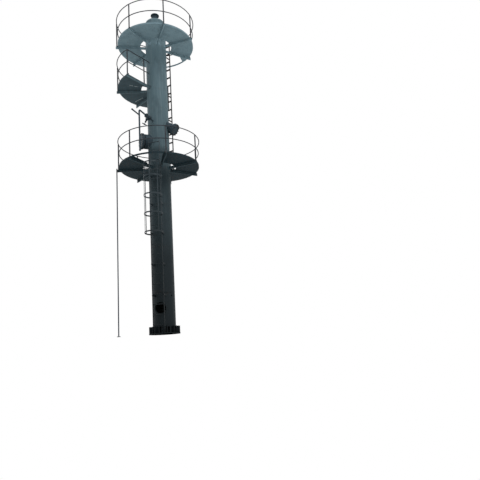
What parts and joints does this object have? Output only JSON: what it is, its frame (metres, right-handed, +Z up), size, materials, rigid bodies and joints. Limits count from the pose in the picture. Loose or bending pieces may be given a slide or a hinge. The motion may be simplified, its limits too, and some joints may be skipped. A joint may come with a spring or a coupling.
{
  "type": "distillation column",
  "caption": "Tall slender steel distillation column on a skirt, with ring platforms, handrails, a caged ladder, a manway and nozzles.",
  "frame": {"origin": "centre of the base ring's underside, on the vessel's axis", "axes": "+Z up along the vessel's axis; -Y is the side seen in the picture; +X is the picture's right"},
  "size_m": [3.2547, 3.3026, 13.05],
  "materials": {
    "vessel_paint": "weathered satin grey-green paint",
    "platform_paint": "sooty grey-green paint with rust",
    "rail_paint": "dull grey-brown paint",
    "ladder_steel": "rust-stained paint"
  },
  "bodies": {
    "root": {"base_ring": "vessel_paint", "anchor_chairs": "vessel_paint", "skirt": "vessel_paint", "skirt_collar": "vessel_paint", "bottom_head": "vessel_paint", "shell_lower": "vessel_paint", "shell_middle": "vessel_paint", "shell_upper": "vessel_paint", "top_head": "vessel_paint", "vapour_nozzle": "vessel_paint", "lifting_lugs": "vessel_paint", "manway_neck": "vessel_paint", "manway_flange": "vessel_paint", "manway_cover": "vessel_paint", "manway_hinge": "vessel_paint", "drain_nozzle": "vessel_paint", "drain_cover": "vessel_paint", "feed_nozzle": "vessel_paint", "feed_valve": "vessel_paint", "feed_handwheel": "vessel_paint", "feed_pipe": "vessel_paint", "riser_pipe": "vessel_paint", "lower_deck": "platform_paint", "lower_curb": "platform_paint", "lower_beams": "platform_paint", "half_deck": "platform_paint", "half_curb": "platform_paint", "half_beams": "platform_paint", "upper_deck": "platform_paint", "upper_curb": "platform_paint", "upper_beams": "platform_paint", "lower_posts": "rail_paint", "lower_rails": "rail_paint", "half_posts": "rail_paint", "half_rails": "rail_paint", "upper_posts": "rail_paint", "upper_rails": "rail_paint", "lower_ladder": "ladder_steel", "lower_stays": "ladder_steel", "cage_hoops": "ladder_steel", "cage_straps": "ladder_steel", "upper_ladder": "ladder_steel", "upper_stays": "ladder_steel"}
  },
  "joints": []
}
